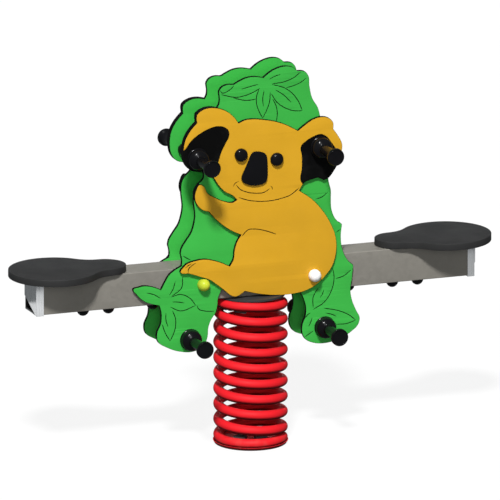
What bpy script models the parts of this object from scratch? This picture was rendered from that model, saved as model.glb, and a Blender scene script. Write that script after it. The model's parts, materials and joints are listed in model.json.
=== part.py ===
"""A children's spring seesaw: two seats on a steel beam that rocks on one coil spring, with play
panels of a koala in a tree on both sides of it, which carry the hand grips and the foot pegs.

Metres, +Z up. The origin is on the spring's axis at ground level. +X runs along the beam and -Y is
the front. The rear panels, grips and caps mirror the front ones.
"""

import math

import bmesh
import bpy
from mathutils import Vector
from mathutils.geometry import interpolate_bezier

MM = 0.001
GAP = 0.3 * MM  # kept between pieces that touch
ROUND_SIDES = 16  # facets around a bolt, a hole, a cap or a grip
PLATE_SIDES = 48  # facets around the plates under and over the spring
HEX = 6

# Coil spring, wound left-handed from one bar, with both end turns closed and flat
WIRE_RADIUS = 13.5 * MM
COIL_RADIUS = 88 * MM  # to the middle of the bar
COIL_PITCH = 43.4 * MM
CLOSED_SWEEP = math.radians(138)
SPRING_HEIGHT = 412.7 * MM
TOP_FLAT_END = math.radians(250)  # where the closed top turn starts to descend
COIL_STEPS_PER_TURN = 24
COIL_BEVEL_RESOLUTION = 3

# Dished plate under the spring, and flat plate on top of it
DISH_FLOOR_RADIUS = 98 * MM
DISH_RIM_RADIUS = 103 * MM
DISH_RIM_HEIGHT = 9 * MM
DISH_THICKNESS = 3 * MM
DISH_LIP_THICKNESS = 2.4 * MM
DISH_FLOOR_INNER_RADIUS = 97.6 * MM
ANCHOR_HOLE_RADIUS = 6.5 * MM
ANCHOR_HOLE_OFFSET = 36 * MM
TOP_PLATE_RADIUS = 94.5 * MM
TOP_PLATE_THICKNESS = 6 * MM
PLATE_BOLT_X = 26 * MM
PLATE_BOLT_Y = 22 * MM

# Clamps that hook over the closed end turns from inside, each with one M10 bolt
CLAMP_HEEL_INNER = 48 * MM
CLAMP_HEEL_OUTER = 71 * MM
CLAMP_LIP_OUTER = 87 * MM
CLAMP_LIP_THICKNESS = 5 * MM
CLAMP_LIP_HEIGHT = 27.7 * MM  # from the plate to the lip's near face: just over the bar
CLAMP_STEPS = 3
CLAMP_SWEEP = math.radians(22)
CLAMP_ANGLES = (math.radians(19), math.radians(62))  # from where the closed turn starts
CLAMP_BOLT_RADIUS = 60 * MM
M10_RADIUS = 5 * MM
M10_HEAD_WIDTH = 16 * MM
M10_HEAD_HEIGHT = 6.4 * MM

# Beam: a rectangular steel tube with a pressed cap over each end
BEAM_LENGTH = 1263 * MM
BEAM_WIDTH = 90 * MM
BEAM_HEIGHT = 95 * MM
BEAM_WALL = 4 * MM
BEAM_BOLT_GRIP = 3 * BEAM_WALL  # how far a bolt reaches into the beam's wall
END_CAP_REACH = 20 * MM
END_CAP_SHEET = 2 * MM
END_CAP_CROP = 39 * MM  # height that the end plate's cropped lower corner rises to

# Seats: a wide and a narrow round lobe joined by a waist of two concave arcs
SEAT_THICKNESS = 19 * MM
SEAT_WIDE_RADIUS = 124 * MM
SEAT_WIDE_X = 566 * MM
SEAT_NARROW_RADIUS = 57 * MM
SEAT_NARROW_X = 419 * MM
SEAT_WAIST_RADIUS = 75 * MM
SEAT_EDGE = 2 * MM
SEAT_BORE_DEPTH = 13 * MM
SEAT_BOLT_REACH = 11 * MM  # how far a seat's bolt goes into it
SEAT_BOLTS_X = (410 * MM, 483 * MM)
UNDERSIDE_BOLT_X = 283 * MM

# Play panels: plastic sheets bolted on the beam's two sides, the tree inside and the koala outside
SHEET = 10 * MM
NOSE_THICKNESS = 6 * MM
OUTLINE_SPACING = 11 * MM  # longest straight facet along an outline

# Fixings through the panels
BEAM_BOLTS_X = (-157 * MM, 160 * MM)
HAND_GRIPS = ((-177 * MM, 826 * MM), (178 * MM, 828 * MM))
FOOT_PEGS = ((-194 * MM, 319 * MM), (194 * MM, 319 * MM))
EYES = ((-52 * MM, 826 * MM), (51 * MM, 805 * MM))
EYE_SCREW_RADIUS = 4 * MM
EYE_SCREW_LENGTH = 18 * MM
BORE_CLEARANCE = 0.3 * MM  # a hole's radius beyond its bolt's
CAP_RADIUS = 17 * MM
CAP_SKIRT = 6 * MM
CAP_HEIGHT = 24 * MM
CAP_BORE_DEPTH = 12 * MM
CAP_GRIP = 9.6 * MM  # how far the rod's end goes into its cap
EYE_RADIUS = 18.5 * MM
EYE_SKIRT = 3.75 * MM
EYE_HEIGHT = 15 * MM
DOME_STEPS = 3

# Hand grip and foot peg: (radius, height) in millimetres from the mouth of the bolt's bore
GRIP_BORE_DEPTH = 60
GRIP_BOLT_REACH = 54 * MM
GRIP_PROFILE = (
    (0, GRIP_BORE_DEPTH), (5.3, GRIP_BORE_DEPTH), (5.3, 0), (30, 0), (30, 5), (28, 10), (25.5, 17),
    (20.5, 23.5), (15.5, 28), (14.2, 36), (14, 95), (17, 106), (23, 112), (24, 115), (24, 121),
    (21.5, 125), (0, 123),
)

# Heights of the spring's hinges: it bends about points near its middle
SWAY_HINGE_Z = 165 * MM
ROCK_HINGE_Z = 255 * MM

SPRING_BOTTOM = DISH_THICKNESS + GAP
SPRING_TOP = SPRING_BOTTOM + SPRING_HEIGHT
TOP_PLATE_BOTTOM = SPRING_TOP + GAP
BEAM_BOTTOM = TOP_PLATE_BOTTOM + TOP_PLATE_THICKNESS + GAP
BEAM_MIDDLE = BEAM_BOTTOM + BEAM_HEIGHT / 2
BEAM_TOP = BEAM_BOTTOM + BEAM_HEIGHT
TREE_INNER_Y = BEAM_WIDTH / 2 + GAP
TREE_OUTER_Y = TREE_INNER_Y + SHEET
KOALA_INNER_Y = TREE_OUTER_Y + GAP
KOALA_OUTER_Y = KOALA_INNER_Y + SHEET

# Outlines in millimetres, (x, z). Each row is one smooth bulge that runs on to the first point of
# the next row, and the outline has a crease at the start of each row.
TREE_BULGES = (
    ((115, 1044), (101, 1055), (78, 1060), (56, 1056), (34, 1046)),
    ((17, 1033), (-7, 1038), (-31, 1037), (-53, 1029)),
    ((-67, 1022), (-90, 1022), (-104, 1016), (-111, 1004), (-109, 986), (-111, 970)),
    ((-116, 961), (-136, 965), (-161, 961), (-178, 948)),
    ((-178, 926), (-196, 907), (-211, 882), (-217, 846), (-211, 813), (-196, 795), (-171, 788)),
    ((-156, 784), (-155, 768), (-170, 753), (-180, 739), (-184, 714), (-183, 695), (-180, 667),
     (-184, 639), (-191, 618), (-207, 595), (-220, 573)),
    ((-222, 562), (-218, 543)),
    ((-219, 527), (-236, 519), (-254, 506), (-267, 486)),
    ((-278, 466), (-304, 477), (-331, 481)),
    ((-358, 473), (-345, 454), (-324, 436), (-302, 427)),
    ((-283, 422), (-278, 404), (-279, 371), (-290, 344), (-288, 323), (-259, 301), (-222, 287),
     (-185, 284), (-154, 298), (-144, 321), (-141, 349), (-132, 371), (-122, 385), (-116, 404),
     (-113, 429)),
    ((-104, 449), (2, 454)),
    ((112, 449), (124, 423), (135, 399), (140, 376), (137, 351), (130, 333), (129, 309), (139, 289),
     (162, 277), (190, 273), (218, 276), (270, 298), (292, 318), (296, 335), (286, 357), (274, 386),
     (269, 417), (273, 445)),
    ((277, 483), (258, 505), (245, 535), (241, 567)),
    ((244, 602), (226, 619), (214, 647), (212, 676), (212, 701), (205, 731), (209, 774), (206, 824),
     (196, 869)),
    ((181, 911), (175, 934), (158, 964), (150, 999), (147, 1027), (137, 1040)),
)
KOALA_BULGES = (
    ((-58, 915), (-70, 932), (-86, 947), (-111, 960), (-136, 965), (-161, 961), (-178, 948)),
    ((-178, 926), (-196, 907), (-211, 882), (-217, 846), (-211, 813), (-196, 795), (-171, 788)),
    ((-142, 785), (-130, 769), (-117, 748), (-98, 727), (-74, 713)),
    ((-63, 701), (-76, 695), (-96, 699), (-126, 713), (-148, 728), (-157, 746), (-170, 753),
     (-180, 739), (-184, 714), (-174, 692), (-158, 679)),
    ((-144, 675), (-126, 654), (-98, 629), (-72, 612)),
    ((-51, 602), (-62, 585), (-70, 561), (-74, 533)),
    ((-84, 517), (-101, 526), (-126, 536), (-156, 543), (-184, 541), (-208, 534), (-219, 524),
     (-226, 513), (-222, 509), (-204, 507), (-186, 501), (-168, 494), (-144, 485), (-124, 471),
     (-108, 458), (-92, 444), (-78, 433), (-66, 430), (-54, 434)),
    ((-40, 443), (-13, 435), (19, 428), (59, 423), (96, 423), (132, 428), (167, 443), (193, 466),
     (212, 490), (222, 519), (225, 547), (220, 581), (205, 617), (182, 653), (154, 684)),
    ((117, 711), (132, 732), (151, 738), (172, 742)),
    ((188, 734), (202, 739), (215, 754), (228, 775), (237, 801), (241, 828), (227, 858)),
    ((215, 875), (215, 892), (205, 905), (182, 912), (154, 906), (131, 892)),
    ((113, 879), (82, 897), (50, 910), (12, 919), (-16, 923), (-40, 922)),
)
NOSE_OUTLINE = (
    (-4, 832), (6, 830), (15, 826), (21, 819), (23, 808), (24, 783), (23, 757), (20, 747), (12, 741),
    (-2, 738), (-18, 738), (-36, 743), (-46, 749), (-51, 757), (-50, 767), (-42, 784), (-31, 808),
    (-25, 822), (-19, 830),
)


def clear_scene():
    for obj in list(bpy.data.objects):
        bpy.data.objects.remove(obj)


def make_finish(name, colour, roughness, metallic=0.0):
    finish = bpy.data.materials.new(name)
    finish.use_nodes = True
    shader = finish.node_tree.nodes["Principled BSDF"]
    shader.inputs["Base Color"].default_value = (*colour, 1.0)
    shader.inputs["Roughness"].default_value = roughness
    shader.inputs["Metallic"].default_value = metallic
    return finish


def add_pivot(name, height, parent=None):
    """An empty on the spring's axis, which everything above that hinge hangs from."""
    pivot = bpy.data.objects.new(name, None)
    bpy.context.scene.collection.objects.link(pivot)
    pivot.parent = parent
    pivot.location = Vector((0, 0, height)) - world_position(parent)
    return pivot


def world_position(pivot):
    position = Vector()
    while pivot:
        position += pivot.location
        pivot = pivot.parent
    return position


def add_piece(name, data, finish, position=(0, 0, 0), rotation=(0, 0, 0), parent=None):
    piece = bpy.data.objects.new(name, data)
    bpy.context.scene.collection.objects.link(piece)
    if finish:
        data.materials.clear()
        data.materials.append(finish)
    piece.parent = parent
    piece.location = Vector(position) - world_position(parent)
    piece.rotation_euler = rotation
    return piece


def finished_mesh(name, shape, smooth_angle=math.radians(35)):
    """Turns a bmesh into a mesh with its faces pointing out and its round stretches smooth."""
    bmesh.ops.recalc_face_normals(shape, faces=shape.faces)
    mesh = bpy.data.meshes.new(name)
    shape.to_mesh(mesh)
    shape.free()
    mesh.shade_smooth()
    mesh.set_sharp_from_angle(angle=smooth_angle)
    return mesh


def add_prism(shape, ring, offset):
    """Adds the closed prism that a flat ring of points sweeps out along offset."""
    near = [shape.verts.new(point) for point in ring]
    far = [shape.verts.new(Vector(point) + Vector(offset)) for point in ring]
    shape.faces.new(near)
    shape.faces.new(reversed(far))
    for index in range(len(ring)):
        after = (index + 1) % len(ring)
        shape.faces.new((near[index], far[index], far[after], near[after]))


def turned_mesh(name, profile, segments):
    """Turns (radius, height) points about Z. The profile starts and ends on the axis."""
    shape = bmesh.new()
    rings = []
    for radius, height in profile:
        if radius == 0:
            rings.append([shape.verts.new((0, 0, height))] * segments)
            continue
        turns = [2 * math.pi * index / segments for index in range(segments)]
        rings.append([shape.verts.new((radius * math.cos(turn), radius * math.sin(turn), height))
                      for turn in turns])
    for lower, upper in zip(rings, rings[1:]):
        for index in range(segments):
            after = (index + 1) % segments
            corners = (lower[index], lower[after], upper[after], upper[index])
            shape.faces.new(list(dict.fromkeys(corners)))
    return finished_mesh(name, shape)


def hex_bolt_mesh(name, shank_length):
    """An M10 bolt whose shank ends at Z = 0 and whose hexagonal head is above it."""
    sides = 2 * HEX
    flat = M10_HEAD_WIDTH / 2
    corner = flat / math.cos(math.pi / HEX)
    shank = [M10_RADIUS] * sides
    head = [flat if index % 2 else corner for index in range(sides)]
    levels = ((shank, 0), (shank, shank_length), (head, shank_length),
              (head, shank_length + M10_HEAD_HEIGHT))
    shape = bmesh.new()
    rings = []
    for radii, height in levels:
        turns = [math.pi * index / HEX for index in range(sides)]
        rings.append([shape.verts.new((radius * math.cos(turn), radius * math.sin(turn), height))
                      for radius, turn in zip(radii, turns)])
    for lower, upper in zip(rings, rings[1:]):
        for index in range(sides):
            after = (index + 1) % sides
            shape.faces.new((lower[index], lower[after], upper[after], upper[index]))
    shape.faces.new(rings[0])
    shape.faces.new(reversed(rings[-1]))
    return finished_mesh(name, shape)


def dome_profile(radius, skirt, height):
    """The outside of a round cap, from its rim at height 0 over a quarter ellipse to the axis."""
    turns = [math.pi / 2 * index / DOME_STEPS for index in range(DOME_STEPS)]
    dome = [(radius * math.cos(turn), skirt + (height - skirt) * math.sin(turn)) for turn in turns]
    return [(radius, 0.0), *dome, (0, height)]


def capped_bolt_mesh(name, cap, shank_radius, shank_length):
    """A bolt with a moulded cap on its head. The cap's rim is at Z = 0 and the shank is below."""
    shank = [(0, -shank_length), (shank_radius, -shank_length), (shank_radius, 0.0)]
    return turned_mesh(name, shank + cap, ROUND_SIDES)


def hollow_cap_mesh(name, cap, bore_radius, bore_depth):
    """A moulded cap that clips over a bolt's end. Its rim is at Z = 0."""
    bore = [(0, bore_depth), (bore_radius, bore_depth), (bore_radius, 0.0)]
    return turned_mesh(name, bore + cap, ROUND_SIDES)


def smooth_curve(knots, closed=False):
    """Points along a smooth curve through the knots, without the last one of an open curve."""
    count = len(knots)
    tangents = []
    for index, knot in enumerate(knots):
        back = knot - knots[index - 1] if closed or index > 0 else None
        ahead = knots[(index + 1) % count] - knot if closed or index < count - 1 else None
        if back and ahead:
            slope = back.normalized() * ahead.length + ahead.normalized() * back.length
        else:
            slope = back or ahead
        tangents.append(slope.normalized())
    points = []
    for index in range(count if closed else count - 1):
        after = (index + 1) % count
        start, end = knots[index], knots[after]
        reach = (end - start).length / 3
        steps = max(1, math.ceil((end - start).length / OUTLINE_SPACING))
        curve = interpolate_bezier(start, start + tangents[index] * reach,
                                   end - tangents[after] * reach, end, steps + 1)
        points += curve[:-1]
    return points


def knots_of(outline):
    """Points in the X-Z plane, from (x, z) in millimetres."""
    return [Vector((x, 0, z)) * MM for x, z in outline]


def creased_outline(bulges):
    """The closed outline of rows of (x, z) millimetres, each a smooth bulge up to the next row."""
    points = []
    for bulge, following in zip(bulges, bulges[1:] + bulges[:1]):
        points += smooth_curve(knots_of((*bulge, following[0])))
    return points


def drill(piece, holes, parent):
    """Cuts round holes, each given as (start, end, radius) in world space, out of a piece."""
    shape = bmesh.new()
    for start, end, radius in holes:
        start, end = Vector(start), Vector(end)
        across = (end - start).orthogonal().normalized()
        other = (end - start).normalized().cross(across)
        turns = [2 * math.pi * index / ROUND_SIDES for index in range(ROUND_SIDES)]
        ring = [start + radius * (math.cos(turn) * across + math.sin(turn) * other) for turn in turns]
        add_prism(shape, ring, end - start)
    cut_away(piece, finished_mesh(piece.name + "_holes", shape), parent)


def cut_away(piece, mesh, parent=None):
    cutter = add_piece(mesh.name, mesh, None, parent=parent)
    cutter.hide_render = True
    cutter.display_type = "WIRE"
    cut = piece.modifiers.new(cutter.name, "BOOLEAN")
    cut.operation = "DIFFERENCE"
    cut.object = cutter


def around(radius, angle, height=0.0):
    """The point at that radius, angle and height about the spring's axis."""
    return Vector((radius * math.cos(angle), radius * math.sin(angle), height))


def add_dish(finish):
    """The dished plate on the ground that the spring stands in."""
    profile = (
        (0, 0), (DISH_FLOOR_RADIUS, 0), (DISH_RIM_RADIUS, DISH_RIM_HEIGHT),
        (DISH_RIM_RADIUS - DISH_LIP_THICKNESS, DISH_RIM_HEIGHT),
        (DISH_FLOOR_INNER_RADIUS, DISH_THICKNESS), (0, DISH_THICKNESS),
    )
    dish = add_piece("ground_plate", turned_mesh("ground_plate", profile, PLATE_SIDES), finish)
    through = Vector((0, 0, DISH_THICKNESS))
    holes = []
    for index in range(3):
        centre = around(ANCHOR_HOLE_OFFSET, math.pi / 2 + 2 * math.pi * index / 3)
        holes.append((centre - through, centre + 2 * through, ANCHOR_HOLE_RADIUS))
    for angle in bottom_clamp_angles():
        centre = around(CLAMP_BOLT_RADIUS, angle)
        holes.append((centre - through, centre + 2 * through, M10_RADIUS + BORE_CLEARANCE))
    drill(dish, holes, None)


def bottom_flat_start():
    """The angle at which the descending coil reaches the closed bottom turn."""
    rise = SPRING_HEIGHT - 2 * WIRE_RADIUS
    return TOP_FLAT_END + 2 * math.pi * rise / COIL_PITCH


def bottom_clamp_angles():
    return [bottom_flat_start() + angle for angle in CLAMP_ANGLES]


def top_clamp_angles():
    return [TOP_FLAT_END - angle for angle in CLAMP_ANGLES]


def coil_angles():
    """The angles of the bar's path points, with one point exactly where each flat turn begins."""
    flat = bottom_flat_start()
    bends = (TOP_FLAT_END - CLOSED_SWEEP, TOP_FLAT_END, flat, flat + CLOSED_SWEEP)
    angles = []
    for start, end in zip(bends, bends[1:]):
        steps = round((end - start) / (2 * math.pi) * COIL_STEPS_PER_TURN)
        angles += [start + (end - start) * index / steps for index in range(steps)]
    return angles + [bends[-1]]


def add_spring(finish, parent):
    """The coil: a closed flat turn on top, the open helix, and a closed flat turn at the bottom."""
    top = SPRING_TOP - WIRE_RADIUS
    bottom = SPRING_BOTTOM + WIRE_RADIUS
    coil = bpy.data.curves.new("coil_spring", "CURVE")
    coil.dimensions = "3D"
    coil.twist_mode = "Z_UP"
    coil.bevel_depth = WIRE_RADIUS
    coil.bevel_resolution = COIL_BEVEL_RESOLUTION
    coil.use_fill_caps = True
    angles = coil_angles()
    path = coil.splines.new("POLY")
    path.points.add(len(angles) - 1)
    hinge = world_position(parent)
    for angle, point in zip(angles, path.points):
        drop = max(0.0, angle - TOP_FLAT_END) / (2 * math.pi) * COIL_PITCH
        place = around(COIL_RADIUS, angle, max(bottom, top - drop))
        point.co = (*(place - hinge), 1)
    add_piece("coil_spring", coil, finish, hinge, parent=parent)


def add_clamp(name, angle, plate_z, up, finishes, parent):
    """One clamp: a heel on the plate, inside the coil, and a lip over the closed turn's bar."""
    lip_top = CLAMP_LIP_HEIGHT + CLAMP_LIP_THICKNESS
    section = ((CLAMP_HEEL_INNER, GAP), (CLAMP_HEEL_OUTER, GAP), (CLAMP_HEEL_OUTER, CLAMP_LIP_HEIGHT),
               (CLAMP_LIP_OUTER, CLAMP_LIP_HEIGHT), (CLAMP_LIP_OUTER, lip_top),
               (CLAMP_HEEL_INNER, lip_top))
    hinge = world_position(parent)
    shape = bmesh.new()
    rings = []
    for step in range(CLAMP_STEPS + 1):
        turn = angle + CLAMP_SWEEP * (step / CLAMP_STEPS - 0.5)
        rings.append([shape.verts.new(around(radius, turn, plate_z + up * height) - hinge)
                      for radius, height in section])
    for before, after in zip(rings, rings[1:]):
        for index in range(len(section)):
            beyond = (index + 1) % len(section)
            shape.faces.new((before[index], before[beyond], after[beyond], after[index]))
    shape.faces.new(rings[0])
    shape.faces.new(reversed(rings[-1]))
    clamp = add_piece(name, finished_mesh(name, shape), finishes["grey"], hinge, parent=parent)
    foot = around(CLAMP_BOLT_RADIUS, angle, plate_z)
    outward = Vector((0, 0, up))
    bore = (foot - lip_top * outward, foot + 2 * lip_top * outward, M10_RADIUS + BORE_CLEARANCE)
    drill(clamp, [bore], None)

    tip = foot - (DISH_THICKNESS - GAP) * outward
    bolt = hex_bolt_mesh(name.replace("clamp", "clamp_bolt"), lip_top + DISH_THICKNESS)
    rotation = (0, 0, 0) if up > 0 else (math.pi, 0, 0)
    add_piece(bolt.name, bolt, finishes["steel"], tip, rotation, parent)


def add_clamps(finishes, rocker):
    for index, angle in enumerate(bottom_clamp_angles(), 1):
        add_clamp(f"lower_clamp_{index}", angle, DISH_THICKNESS, 1, finishes, None)
    for index, angle in enumerate(top_clamp_angles(), 1):
        add_clamp(f"upper_clamp_{index}", angle, TOP_PLATE_BOTTOM, -1, finishes, rocker)


def plate_bolt_spots():
    return [(x, y) for x in (-PLATE_BOLT_X, PLATE_BOLT_X) for y in (-PLATE_BOLT_Y, PLATE_BOLT_Y)]


def add_top_plate(finishes, rocker):
    """The flat plate between the spring and the beam, and the four bolts that hold it to the beam."""
    profile = ((0, 0), (TOP_PLATE_RADIUS, 0), (TOP_PLATE_RADIUS, TOP_PLATE_THICKNESS),
               (0, TOP_PLATE_THICKNESS))
    mesh = turned_mesh("spring_top_plate", profile, PLATE_SIDES)
    plate = add_piece(mesh.name, mesh, finishes["grey"], (0, 0, TOP_PLATE_BOTTOM), parent=rocker)
    below = TOP_PLATE_BOTTOM - TOP_PLATE_THICKNESS
    above = TOP_PLATE_BOTTOM + 2 * TOP_PLATE_THICKNESS
    spots = plate_bolt_spots()
    spots += [around(CLAMP_BOLT_RADIUS, angle).xy for angle in top_clamp_angles()]
    drill(plate, [((x, y, below), (x, y, above), M10_RADIUS + BORE_CLEARANCE) for x, y in spots], rocker)
    length = TOP_PLATE_THICKNESS + 2 * GAP + BEAM_BOLT_GRIP
    for index, (x, y) in enumerate(plate_bolt_spots(), 1):
        bolt = hex_bolt_mesh(f"top_plate_bolt_{index}", length)
        tip = (x, y, TOP_PLATE_BOTTOM - GAP + length)
        add_piece(bolt.name, bolt, finishes["steel"], tip, (math.pi, 0, 0), rocker)


def add_beam(finish, rocker):
    shape = bmesh.new()
    half = BEAM_LENGTH / 2
    rings = []
    for x in (-half, half):
        for inset in (0, BEAM_WALL):
            y, z = BEAM_WIDTH / 2 - inset, BEAM_HEIGHT / 2 - inset
            rings.append([shape.verts.new((x, *corner)) for corner in
                          ((-y, -z), (y, -z), (y, z), (-y, z))])
    left_outer, left_inner, right_outer, right_inner = rings
    for first, second in ((left_outer, right_outer), (right_outer, right_inner),
                          (right_inner, left_inner), (left_inner, left_outer)):
        for index in range(4):
            after = (index + 1) % 4
            shape.faces.new((first[index], first[after], second[after], second[index]))
    mesh = finished_mesh("beam", shape)
    beam = add_piece("beam", mesh, finish, (0, 0, BEAM_MIDDLE), parent=rocker)
    bore = M10_RADIUS + BORE_CLEARANCE
    under, inside, over = BEAM_BOTTOM - BEAM_WALL, BEAM_BOTTOM + 2 * BEAM_WALL, BEAM_TOP + BEAM_WALL
    holes = [((x, y, under), (x, y, inside), bore) for x, y in plate_bolt_spots()]
    holes += [((x, -BEAM_WIDTH, BEAM_MIDDLE), (x, BEAM_WIDTH, BEAM_MIDDLE), bore) for x in BEAM_BOLTS_X]
    for side in (-1, 1):
        x = side * UNDERSIDE_BOLT_X
        holes.append(((x, 0, under), (x, 0, inside), bore))
        holes += [((side * x, 0, under), (side * x, 0, over), bore) for x in SEAT_BOLTS_X]
    drill(beam, holes, rocker)


def add_end_caps(finish, rocker):
    """Each cap wraps the beam's sides and bottom, and its end plate has a cropped lower corner."""
    half = BEAM_WIDTH / 2 + GAP + END_CAP_SHEET
    low = BEAM_BOTTOM - GAP - END_CAP_SHEET
    end = BEAM_LENGTH / 2 + GAP + END_CAP_SHEET
    for side, name in ((-1, "beam_end_cap_left"), (1, "beam_end_cap_right")):
        # The same pressing closes both ends, so the cropped corner is at the back on the left
        shape = bmesh.new()
        section = [(half, low + END_CAP_CROP), (half, BEAM_TOP), (half - END_CAP_SHEET, BEAM_TOP),
                   (half - END_CAP_SHEET, low + END_CAP_SHEET),
                   (-half + END_CAP_SHEET, low + END_CAP_SHEET), (-half + END_CAP_SHEET, BEAM_TOP),
                   (-half, BEAM_TOP), (-half, low), (half, low)]
        ring = [(side * (end - END_CAP_SHEET), -side * y, z) for y, z in section]
        add_prism(shape, ring, (-side * END_CAP_REACH, 0, 0))
        mesh = finished_mesh(name, shape)
        cap = add_piece(name, mesh, finish, parent=rocker)
        cap.location = -world_position(rocker)

        plate = bmesh.new()
        corners = [(-half, low), (half, low + END_CAP_CROP), (half, BEAM_TOP), (-half, BEAM_TOP)]
        ring = [(side * end, -side * y, z) for y, z in corners]
        add_prism(plate, ring, (-side * (END_CAP_SHEET + GAP / 2), 0, 0))
        plate_mesh = finished_mesh(name + "_plate", plate)
        helper = add_piece(plate_mesh.name, plate_mesh, None, parent=rocker)
        helper.location = -world_position(rocker)
        helper.hide_render = True
        helper.display_type = "WIRE"
        join = cap.modifiers.new("end_plate", "BOOLEAN")
        join.operation = "UNION"
        join.object = helper


def arc(centre_x, centre_y, radius, start, end, steps):
    """Points on an arc, without its end point."""
    turns = [start + (end - start) * index / steps for index in range(steps)]
    return [(centre_x + radius * math.cos(turn), centre_y + radius * math.sin(turn)) for turn in turns]


def seat_outline():
    """Two round lobes whose waist is a concave arc on each side, tangent to both."""
    apart = SEAT_WIDE_X - SEAT_NARROW_X
    wide_reach = SEAT_WIDE_RADIUS + SEAT_WAIST_RADIUS
    narrow_reach = SEAT_NARROW_RADIUS + SEAT_WAIST_RADIUS
    along = (wide_reach ** 2 - narrow_reach ** 2 + apart ** 2) / (2 * apart)
    waist_x = SEAT_WIDE_X - along
    waist_y = math.sqrt(wide_reach ** 2 - along ** 2)
    wide_turn = math.atan2(waist_y, waist_x - SEAT_WIDE_X)
    narrow_turn = math.atan2(waist_y, waist_x - SEAT_NARROW_X)
    return (
        arc(SEAT_WIDE_X, 0, SEAT_WIDE_RADIUS, -wide_turn, wide_turn, 28)
        + arc(waist_x, waist_y, SEAT_WAIST_RADIUS, wide_turn + math.pi, narrow_turn + math.pi, 6)
        + arc(SEAT_NARROW_X, 0, SEAT_NARROW_RADIUS, narrow_turn, 2 * math.pi - narrow_turn, 14)
        + arc(waist_x, -waist_y, SEAT_WAIST_RADIUS, math.pi - narrow_turn, math.pi - wide_turn, 6)
    )


def add_seats(finish, rocker):
    bottom = BEAM_TOP + GAP
    for side, name in ((-1, "seat_left"), (1, "seat_right")):
        shape = bmesh.new()
        add_prism(shape, [(side * x, y, bottom) for x, y in seat_outline()], (0, 0, SEAT_THICKNESS))
        bmesh.ops.recalc_face_normals(shape, faces=shape.faces)
        rims = [edge for edge in shape.edges if abs(edge.calc_face_angle()) > math.radians(60)]
        bmesh.ops.bevel(shape, geom=rims, offset=SEAT_EDGE, segments=1, affect="EDGES")
        seat = add_piece(name, finished_mesh(name, shape), finish, parent=rocker)
        seat.location = -world_position(rocker)
        holes = [((side * x, 0, bottom - SEAT_THICKNESS), (side * x, 0, bottom + SEAT_BORE_DEPTH),
                  M10_RADIUS + BORE_CLEARANCE) for x in SEAT_BOLTS_X]
        drill(seat, holes, rocker)


def add_underside_bolts(finish, rocker):
    """Bolts with round caps under the beam: two up into each seat, and one short one per arm."""
    cap = dome_profile(CAP_RADIUS, CAP_SKIRT, CAP_HEIGHT)
    into_seat = BEAM_HEIGHT + 2 * GAP + SEAT_BOLT_REACH
    downward = (math.pi, 0, 0)
    for side, word in ((-1, "left"), (1, "right")):
        for x, where in zip(SEAT_BOLTS_X, ("inner", "outer")):
            bolt = capped_bolt_mesh(f"seat_bolt_{word}_{where}", cap, M10_RADIUS, into_seat)
            position = (side * x, 0, BEAM_BOTTOM - GAP)
            add_piece(bolt.name, bolt, finish, position, downward, rocker)
        bolt = capped_bolt_mesh(f"underside_bolt_{word}", cap, M10_RADIUS, BEAM_BOLT_GRIP)
        position = (side * UNDERSIDE_BOLT_X, 0, BEAM_BOTTOM - GAP)
        add_piece(bolt.name, bolt, finish, position, downward, rocker)


def add_sheet(name, outline, inner_y, thickness, facing, finish, rocker):
    """A flat sheet whose inner face is inner_y out from the beam's middle, on the facing side."""
    shape = bmesh.new()
    ring = [Vector((point.x, facing * inner_y, point.z)) for point in outline]
    add_prism(shape, ring, (0, facing * thickness, 0))
    sheet = add_piece(name, finished_mesh(name, shape), finish, parent=rocker)
    sheet.location = -world_position(rocker)
    return sheet


def add_panels(facing, word, finishes, rocker):
    """The tree sheet, the koala sheet on it, and the nose that stands out from the koala's face."""
    behind, before = facing * (TREE_INNER_Y - SHEET), facing * (KOALA_OUTER_Y + SHEET)

    def bore(x, z, radius=M10_RADIUS):
        return ((x, behind, z), (x, before, z), radius + BORE_CLEARANCE)

    grips = [bore(x, z) for x, z in HAND_GRIPS]
    pegs = [bore(x, z) for x, z in FOOT_PEGS]
    beam_bolts = [bore(x, BEAM_MIDDLE) for x in BEAM_BOLTS_X]
    eyes = [bore(x, z, EYE_SCREW_RADIUS) for x, z in EYES]

    tree = add_sheet(f"tree_panel_{word}", creased_outline(TREE_BULGES), TREE_INNER_Y, SHEET, facing,
                     finishes["tree"], rocker)
    drill(tree, grips + pegs + beam_bolts + eyes, rocker)
    koala = add_sheet(f"koala_panel_{word}", creased_outline(KOALA_BULGES), KOALA_INNER_Y, SHEET,
                      facing, finishes["koala"], rocker)
    drill(koala, grips + beam_bolts[1:] + eyes, rocker)
    add_sheet(f"nose_{word}", smooth_curve(knots_of(NOSE_OUTLINE), closed=True), KOALA_OUTER_Y + GAP,
              NOSE_THICKNESS, facing, finishes["black"], rocker)


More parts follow.
